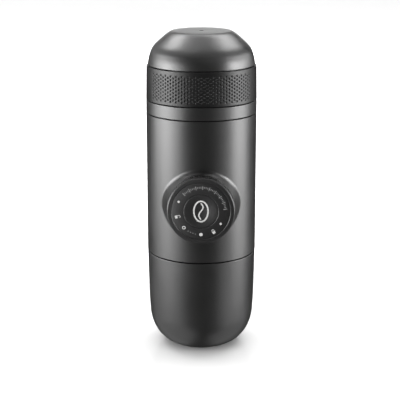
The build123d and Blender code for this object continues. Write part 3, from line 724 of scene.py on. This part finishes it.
def dish_y(x, z):
    return bowl(math.hypot(x, z - KZ)) + 0.005


def polar(r, deg):
    return (r * math.cos(math.radians(deg)), KZ + r * math.sin(math.radians(deg)))


white, grey = [], []
# lock marks: filled dot at the bottom, open circle one eighth turn clockwise, dots between
x, z = polar(12.5, 270)
white.append(flat_disc(x, z, 0.92, face_y))
x, z = polar(12.5, 224.3)
white.append(flat_ring(x, z, 0.56, 0.96, face_y))
for k in range(1, 7):
    deg = 224.3 + 6.53 * k
    if 232 < deg < 263:
        x, z = polar(12.5, deg)
        grey.append(flat_disc(x, z, 0.24, face_y, 16))
for r, deg in ((12.75, 155.6), (12.25, 327.4)):
    x, z = polar(r, deg)
    white.append(flat_disc(x, z, 0.62, face_y))


def padlock(r, deg, is_open):
    """A small generic padlock upright to the rim, feet towards the centre."""
    cx, cz = polar(r, deg)
    rot = math.radians(deg - 90)
    if math.sin(math.radians(deg)) < 0:
        rot += math.pi

    def place(px, pz):
        return (cx + px * math.cos(rot) - pz * math.sin(rot),
                cz + px * math.sin(rot) + pz * math.cos(rot))
    out = []
    out.append(stroke([place(-0.8, -0.5), place(0.8, -0.5)], 1.25, face_y))
    bow = []
    lift = 0.45 if is_open else 0.0
    for k in range(0, 13):
        a = math.radians(180 - 15 * k)
        bow.append((0.58 * math.cos(a), 0.62 + lift + 0.58 * math.sin(a)))
    pts = [(-0.58, 0.1)] + bow + ([] if is_open else [(0.58, 0.1)])
    out.append(stroke([place(*p) for p in pts], 0.3, face_y))
    return out


white += padlock(12.75, 193, True)
white += padlock(12.75, 301, False)
# fine graduated scale round the upper part
for k in range(0, 33):
    deg = 134 - 4.0 * k
    long = k % 4 == 0
    a, b = (11.75, 13.75) if long else (12.35, 13.3)
    grey.append(stroke([polar(a + (b - a) * q / 4, deg) for q in range(5)],
                       0.34 if long else 0.24, face_y))

# a plain coffee bean at the centre
bean = []
for k in range(72):
    a = 2 * math.pi * k / 72
    bean.append((3.72 * math.cos(a), KZ + 5.5 * math.sin(a)))
white.append(stroke(bean, 0.80, dish_y, closed=True))
curve = []
for k in range(25):
    t = -1 + 2 * k / 24
    curve.append((1.1 * math.sin(math.pi * t), KZ + 4.4 * t))
white.append(stroke(curve, 0.70, dish_y))

v, f = join(*white)
make_object("knob_print_white", v, f, [mat_ink], "knob", (), 30)
v, f = join(*grey)
make_object("knob_print_grey", v, f, [mat_ink_grey], "knob", (), 30)


# ----------------------------------------------------------------- springs
def coil(name, mat, radius, wire, start, end, turns, node, axis):
    """A round-wire helix from start to end with closed, flattened end coils."""
    start, end = Vector(start), Vector(end)
    d = (end - start)
    length = d.length
    w = d.normalized()
    u = Vector((1, 0, 0))
    vv = w.cross(u)
    verts, faces = [], []
    n = int(turns * 40)
    ring = 12
    for k in range(n + 1):
        t = k / n
        a = 2 * math.pi * turns * t
        # end coils lie flat
        e = 0.9 / turns
        if t < e:
            s = wire + (t / e) * wire * 0.6
        elif t > 1 - e:
            s = length - wire - ((1 - t) / e) * wire * 0.6
        else:
            q = (t - e) / (1 - 2 * e)
            s = wire * 1.6 + q * (length - 3.2 * wire)
        c = start + w * s + (u * math.cos(a) + vv * math.sin(a)) * radius
        rad = (u * math.cos(a) + vv * math.sin(a))
        for j in range(ring):
            b = 2 * math.pi * j / ring
            p = c + (rad * math.cos(b) + w * math.sin(b)) * wire
            verts.append(tuple(p))
    for k in range(n):
        for j in range(ring):
            j2 = (j + 1) % ring
            faces.append((k * ring + j, k * ring + j2, (k + 1) * ring + j2, (k + 1) * ring + j))
    faces.append(tuple(reversed(range(ring))))
    faces.append(tuple(n * ring + j for j in range(ring)))
    me = bpy.data.meshes.new(name)
    me.from_pydata([tuple(x * MM for x in p) for p in verts], [], faces)
    me.materials.append(mat)
    me.shade_smooth()
    me.set_sharp_from_angle(angle=math.radians(50))
    o = bpy.data.objects.new(name, me)
    scene.collection.objects.link(o)
    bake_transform(o)
    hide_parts(node)
    return o


coil("return_coil", mat_spring, 11.6, 0.6, (0, 1.95, KZ), (0, -34.25, KZ), 9.5,
     "return_spring", "Y")
coil("valve_coil", mat_spring, 1.9, 0.26, (0, 16, 109.9), (0, 16, 104.7), 5,
     "outlet_valve_spring", "Z")


# ------------------------------------------------------------ stage, lights
def stage_plane(name, size, z, mat):
    me = bpy.data.meshes.new(name)
    me.from_pydata([(-size, -size, z), (size, -size, z), (size, size, z), (-size, size, z)],
                   [], [(0, 1, 2, 3)])
    me.materials.append(mat)
    o = bpy.data.objects.new(name, me)
    scene.collection.objects.link(o)
    return o


t = Tree("stage_floor")
fl = t.noise(3.0, 2)
floor_mat = t.finish(t.ramp(fl, [(0.3, (0.62, 0.62, 0.62)), (0.7, (0.64, 0.64, 0.64))]),
                     t.remap(fl, 0.05, 0.07, 0.3, 0.7), None, IOR=1.45)
# far from the object the table fades into the white surroundings
far = t.node("ShaderNodeVectorMath", operation="LENGTH")
t.link(t.co, far.inputs[0])
t.bsdf.inputs["Emission Color"].default_value = (1, 1, 1, 1)
t.link(t.remap(far.outputs["Value"], 0.0, 0.2, 1.2, 4.0), t.bsdf.inputs["Emission Strength"])
floor = stage_plane("floor", 6.0, -0.0001, floor_mat)
floor.visible_glossy = False
floor.visible_shadow = False


def stage_wall(name, radius, height, mat, n=96):
    """A round white wall far behind everything, seen only by the camera."""
    verts = [(radius * math.cos(2 * math.pi * k / n), radius * math.sin(2 * math.pi * k / n), z)
             for z in (-0.01, height) for k in range(n)]
    faces = [(k, (k + 1) % n, n + (k + 1) % n, n + k) for k in range(n)]
    me = bpy.data.meshes.new(name)
    me.from_pydata(verts, [], faces)
    me.materials.append(mat)
    o = bpy.data.objects.new(name, me)
    scene.collection.objects.link(o)
    o.visible_diffuse = o.visible_glossy = o.visible_shadow = False
    return o


t = Tree("stage_wall")
wf = t.noise(0.6, 1)
wall_mat = t.finish(t.ramp(wf, [(0.3, (0.60, 0.60, 0.60)), (0.7, (0.62, 0.62, 0.62))]),
                    t.remap(wf, 0.85, 0.90, 0.3, 0.7), None)
t.bsdf.inputs["Emission Color"].default_value = (1, 1, 1, 1)
t.bsdf.inputs["Emission Strength"].default_value = 1.0
wall = stage_wall("wall", 5.8, 7.0, wall_mat)


def panel(name, az, el, half_w, half_h, radiance, dist=1.6, only=None):
    """A flat softbox seen from the object's middle at an azimuth (0 in front, + to the
    right) and elevation, with half sizes in degrees and an even radiance."""
    a, e = math.radians(az), math.radians(el)
    d = Vector((math.sin(a) * math.cos(e), -math.cos(a) * math.cos(e), math.sin(e)))
    w = 2 * dist * math.tan(math.radians(half_w))
    h = 2 * dist * math.tan(math.radians(half_h))
    data = bpy.data.lights.new(name, "AREA")
    data.shape = "RECTANGLE"
    data.size, data.size_y = w, h
    data.energy = math.pi * w * h * radiance
    o = bpy.data.objects.new(name, data)
    scene.collection.objects.link(o)
    o.location = Vector((0, 0, 0.09)) + d * dist
    o.rotation_euler = (-d).to_track_quat("-Z", "Y").to_euler()
    if only:
        group = bpy.data.collections.new(name + "_receivers")
        for obj in only:
            group.objects.link(obj)
        o.light_linking.receiver_collection = group
    return o


# overhead cards are flagged off the barrel
off_barrel = [o for o in scene.objects if o.type == "MESH" and o is not N["body_shell"]]
PANELS = [
    # name, azimuth, elevation, half width, half height, radiance
    ("right_mid_1", 71.1, 9.3, 9.0, 7.5, 6.941),
    ("left_high_1", -127.1, 52.4, 10.0, 10.0, 6.663),
    ("right_high_1", 133.3, 48.3, 10.2, 10.8, 3.952),
    ("right_mid_2", 87.0, -1.7, 18.2, 15.7, 3.276),
    ("left_mid_1", -87.1, 2.9, 25.1, 15.7, 2.939),
    ("back_mid_1", 179.0, 6.2, 14.3, 7.7, 2.904),
    ("left_mid_2", -65.5, -0.0, 24.2, 11.5, 2.738),
    ("right_high_2", 143.4, 63.9, 29.7, 7.5, 2.672),
    ("right_mid_3", 109.1, 10.7, 18.9, 7.5, 2.078),
    ("right_mid_4", 52.7, -22.4, 12.7, 9.0, 0.555),
    ("left_low_1", -89.0, -53.7, 41.0, 26.0, 0.403),
    ("left_mid_3", -113.9, 15.7, 39.5, 10.3, 0.398),
    ("right_low_1", 94.6, -55.0, 30.6, 24.7, 0.366),
    ("left_high_2", -97.7, 67.8, 29.0, 20.1, 0.309),
    ("right_high_3", 57.1, 70.0, 50.0, 45.0, 0.185),
    ("front_mid_1", -0.8, -14.8, 40.8, 28.8, 0.051),
]
for row in PANELS:
    panel(*row, only=off_barrel if row[2] > 69 else None)
# a small soft light that draws the curve of the knob's face
panel("knob_fill", -40.0, -5.0, 9.0, 26.0, 3.2, only=[knob_body, knob_dish])
# white cards far off on all sides, seen only as the sheen of the table
for k in range(4):
    panel("table_sheen_%d" % k, 90.0 * k, 14.5, 44.5, 16.0, 0.66, dist=6.5, only=[floor])
# the big soft light above and behind the table
panel("table_light", 180.0, 66.0, 44.0, 22.0, 3.3, dist=12.0, only=[floor])
panel("table_front_light", 0.0, 66.0, 44.0, 22.0, 0.9, dist=12.0, only=[floor])

world = bpy.data.worlds.new("world")
scene.world = world
world.use_nodes = True
bg = world.node_tree.nodes["Background"]
bg.inputs[0].default_value = (1, 1, 1, 1)
bg.inputs[1].default_value = 0.42
world.cycles_visibility.glossy = False

scene.view_settings.view_transform = "Standard"
scene.view_settings.look = "None"
scene.view_settings.exposure = 0.0
scene.view_settings.gamma = 1.0

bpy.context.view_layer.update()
